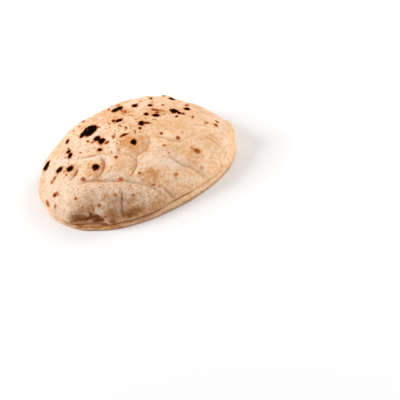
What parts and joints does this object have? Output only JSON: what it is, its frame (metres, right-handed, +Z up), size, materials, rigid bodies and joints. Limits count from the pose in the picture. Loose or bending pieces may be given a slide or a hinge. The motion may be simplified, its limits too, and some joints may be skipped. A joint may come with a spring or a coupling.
{
  "type": "round flatbread",
  "caption": "Round puffed flatbread: domed, creased and blistered top crust over a flat sole, joined by a seam with a rounded lip.",
  "frame": {"origin": "middle of the flat sole, on the table that the bread rests on, under the middle of its plan", "axes": "+Z up through the crown; -Y towards the side with the long shelf crease and the hollow over the seam; +X to the right as seen from that side"},
  "size_m": [0.2058, 0.2018, 0.0528],
  "materials": {
    "baked_crust": "matt, floury baked crust"
  },
  "bodies": {
    "root": {"flatbread": "baked_crust"}
  },
  "joints": []
}
